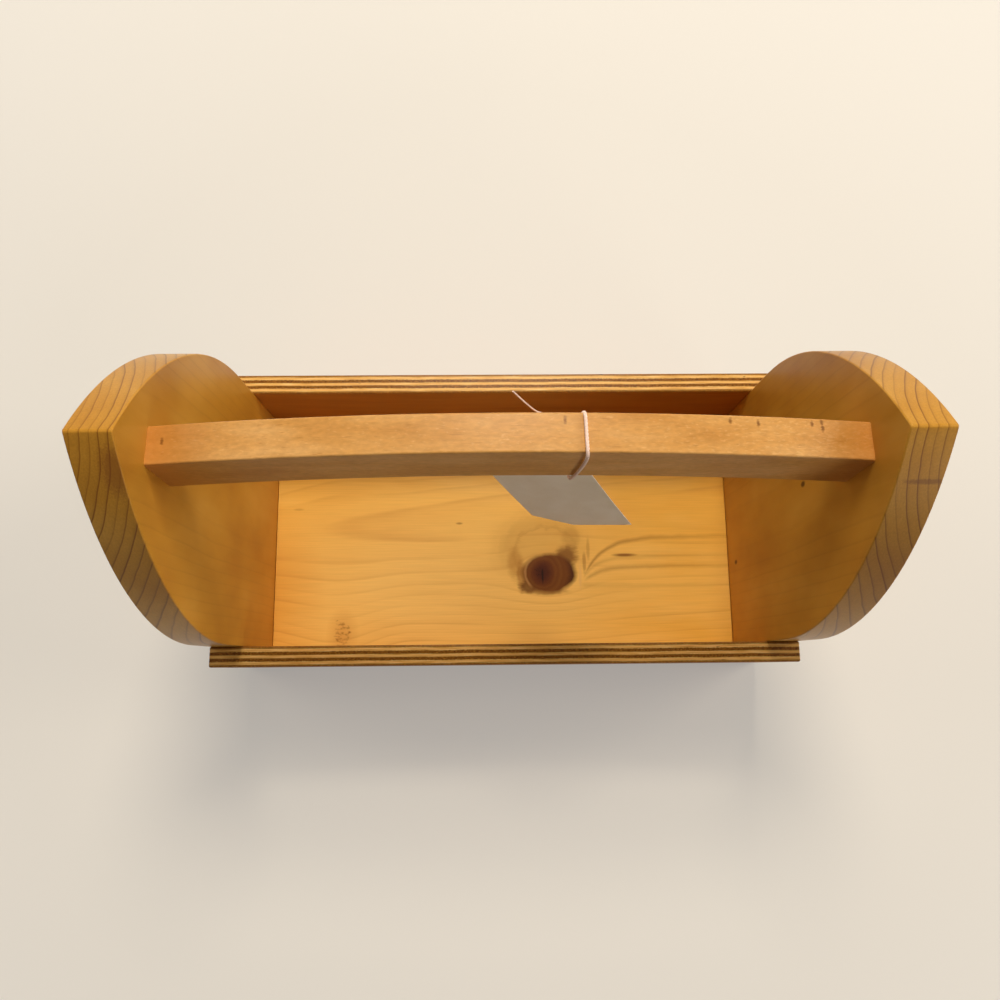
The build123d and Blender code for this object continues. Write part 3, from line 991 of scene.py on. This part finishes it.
# Tag: a blank card with a round hole near one corner, hung on the string below the handle.
# It is cut from thin matt board, and its lower left corner has curled back.
tag_width = 0.0508
tag_length = 0.06985
tag_thickness = 0.0004
hole_radius = 0.0025
hole_steps = 32
hole_from_top = 0.006
hole_from_side = 0.0096
hole_below = 0.0014
curl_along = 0.0127
curl_up = 0.0096
curl_radius = 0.004
curl_steps = 12
bow_reach = 0.0018
bow_steps = 10
hang_point = (0.0276, 0, 0.20612)
tag_turn, tag_lean, tag_tilt = (math.radians(a) for a in (-11.9, -12.0, -28.6))
tag_place = (
    Matrix.Translation(hang_point)
    @ Matrix.Rotation(tag_turn, 4, "Z")
    @ Matrix.Rotation(tag_lean, 4, "X")
    @ Matrix.Rotation(tag_tilt, 4, "Y")
)


def tag_mesh():
    """Fills the card round its hole, rolls one corner back over a soft curl, and thickens it."""
    right, top = hole_from_side, hole_from_top - hole_below
    left, low = right - tag_width, top - tag_length
    card = bmesh.new()
    outline = ((left, low), (right, low), (right, top), (left, top))
    corners = [card.verts.new((x, 0, z)) for x, z in outline]
    for pair in zip(corners, corners[1:] + corners[:1]):
        card.edges.new(pair)
    hole = Matrix.Translation((0, 0, -hole_below)) @ Matrix.Rotation(math.pi / 2, 4, "X")
    bmesh.ops.create_circle(card, cap_ends=False, radius=hole_radius, segments=hole_steps, matrix=hole)
    bmesh.ops.triangle_fill(card, use_beauty=True, use_dissolve=False, edges=card.edges[:])
    inward = Vector((curl_up, 0, curl_along)).normalized()
    corner = Vector((left, 0, low))
    fold = Vector((curl_along, 0, 0)).dot(inward) + curl_radius
    for step in range(curl_steps):
        bmesh.ops.bisect_plane(
            card,
            geom=card.verts[:] + card.edges[:] + card.faces[:],
            plane_co=corner + inward * fold * (1 - step / curl_steps),
            plane_no=inward,
        )
    for step in range(bow_steps):
        bmesh.ops.bisect_plane(
            card,
            geom=card.verts[:] + card.edges[:] + card.faces[:],
            plane_co=(0, 0, low * step / bow_steps),
            plane_no=(0, 0, 1),
        )
    for vert in card.verts:
        vert.co.y += bow_reach * (min(vert.co.z, 0) / low) ** 2
        beyond = fold - (vert.co - corner).dot(inward)
        if beyond > 0:
            angle = beyond / curl_radius
            vert.co += inward * (beyond - curl_radius * math.sin(angle))
            vert.co.y += curl_radius * (1 - math.cos(angle))
    bmesh.ops.recalc_face_normals(card, faces=card.faces[:])
    bmesh.ops.solidify(card, geom=card.faces[:], thickness=tag_thickness)
    back = max(v.co.y for v in card.verts if v.co.z > top - merge_gap)
    bmesh.ops.translate(card, verts=card.verts[:], vec=(0, tag_thickness / 2 - back, 0))
    bmesh.ops.transform(card, matrix=tag_place, verts=card.verts[:])
    return card


def tag_card():
    """Uncoated white board: matt, with a faint fibre mottle and slightly darker handling marks."""
    material, tree, place = start_material("matt_card")
    fibre = grain(tree, place, (0.7, 0.7, 0.7))
    cloud = grain(tree, place, (16, 16, 16), 2.0)
    shade = add_node(tree, "Math", {0: fibre, 1: 0.4, 2: cloud}, operation="MULTIPLY_ADD")
    colour = add_node(tree, "ValToRGB", {0: shade}, stops={0.45: "#f2eadc", 0.95: "#fdf8ef"})
    bump = add_node(tree, "Bump", {"Height": fibre, "Strength": 0.3, "Distance": 0.00005})
    skin = add_node(tree, "BsdfPrincipled", {"Base Color": colour, "Roughness": 0.8, "Normal": bump})
    add_node(tree, "OutputMaterial", {"Surface": skin})
    return material


add_piece("tag_card", tag_mesh(), tag_card(), "tag", "paper", "hang_tag")

# Table: a plain pale top under soft studio light, with a warm lamp behind and above the caddy.
# A window in front on the right, a soft bounce over each end and the light of the room fill the shade.
# Further out the table grows paler to the eye, to meet the backdrop.
table_reach = 8.0
near_lift, far_lift = 0.31, 0.86
lift_start, lift_end = 350.0, 3000.0
gloss_share = 0.3
table_shape = bmesh.new()
bmesh.ops.create_grid(table_shape, x_segments=1, y_segments=1, size=table_reach)
table_mesh = bpy.data.meshes.new("table")
table_shape.to_mesh(table_mesh)
table_shape.free()
table = bpy.data.objects.new("table", table_mesh)
bpy.context.scene.collection.objects.link(table)
cloth, cloth_tree, cloth_place = start_material("pale_table_top")
rays = cloth_tree.nodes.new("ShaderNodeLightPath").outputs
seen = add_node(
    cloth_tree, "Math", {0: rays["Is Camera Ray"], 1: rays["Is Glossy Ray"]}, operation="MAXIMUM"
)
shown = add_node(cloth_tree, "Math", {0: seen, 1: rays["Is Transmission Ray"]}, operation="MAXIMUM")
off = add_node(cloth_tree, "VectorMath", {0: cloth_place}, out="Value", operation="LENGTH")
paler = add_node(
    cloth_tree, "MapRange", {0: off, 1: lift_start, 2: lift_end, 3: near_lift, 4: far_lift}
)
lift = add_node(cloth_tree, "Math", {0: shown, 1: paler}, operation="MULTIPLY")
cloth_skin = add_node(
    cloth_tree,
    "BsdfPrincipled",
    {
        "Base Color": "#bab7b1",
        "Roughness": 0.9,
        "Emission Color": "#fefcf9",
        "Emission Strength": lift,
    },
)
add_node(cloth_tree, "OutputMaterial", {"Surface": cloth_skin})
table_mesh.materials.append(cloth)

target = Vector((0, 0, 0.12))


def add_lamp(name, place, size, strength, colour):
    """A round area lamp that gives a white surface at the target this share of full white."""
    lamp = bpy.data.lights.new(name, "AREA")
    lamp.shape = "DISK"
    lamp.size = size
    lamp.color = linear(colour)[:3]
    ray = Vector(place) - target
    lamp.energy = strength * (math.pi * ray.length) ** 2
    holder = bpy.data.objects.new(name, lamp)
    holder.location = place
    holder.rotation_euler = ray.to_track_quat("Z", "Y").to_euler()
    bpy.context.scene.collection.objects.link(holder)


add_lamp("table_lamp", (0.04, 0.85, 1.45), 0.5, 0.88, "#fff1da")
add_lamp("front_window", (1.28, -1.71, 0.65), 0.9, 0.16, "#fff0dc")
add_lamp("left_bounce", (-1.3, 0.5, 1.25), 0.9, 0.13, "#fff2de")
add_lamp("right_bounce", (1.3, 0.3, 1.25), 0.9, 0.34, "#fff2de")

world = bpy.data.worlds.new("studio")
bpy.context.scene.world = world
world.use_nodes = True
sky = world.node_tree
sky.nodes.clear()
air = add_node(sky, "Background", {"Color": "#fbe8cd", "Strength": 0.08})
backdrop = add_node(sky, "Background", {"Color": "#fefcf9", "Strength": 0.94})
sight = sky.nodes.new("ShaderNodeLightPath").outputs
clear = add_node(
    sky, "Math", {0: sight["Is Camera Ray"], 1: sight["Is Transmission Ray"]}, operation="MAXIMUM"
)
gloss = add_node(
    sky, "Math", {0: sight["Is Glossy Ray"], 1: gloss_share, 2: clear}, operation="MULTIPLY_ADD"
)
room = add_node(sky, "MixShader", {0: gloss, 1: air, 2: backdrop})
add_node(sky, "OutputWorld", {"Surface": room})

# Camera: above the front edge of the tray, looking steeply down, as the photograph was taken.
# Its place, turn and lens were fitted to the outlines of the boards and the handle.
camera_place = Vector((-0.01086, -0.08955, 0.59655))
pitch, yaw, roll = (math.radians(a) for a in (78.98, 4.77, 4.27))
forward = Vector((math.sin(yaw) * math.cos(pitch), math.cos(yaw) * math.cos(pitch), -math.sin(pitch)))
level = Vector((math.cos(yaw), -math.sin(yaw), 0))
upright = level.cross(forward)
right = math.cos(roll) * level + math.sin(roll) * upright
up = math.cos(roll) * upright - math.sin(roll) * level
camera = bpy.data.cameras.new("camera")
camera.sensor_width = 36.0
camera.lens = 31.043
viewer = bpy.data.objects.new("camera", camera)
turned = Matrix((right, up, -forward)).transposed().to_4x4()
viewer.matrix_world = Matrix.Translation(camera_place) @ turned
bpy.context.scene.collection.objects.link(viewer)
bpy.context.scene.camera = viewer
bpy.context.scene.view_settings.view_transform = "Standard"
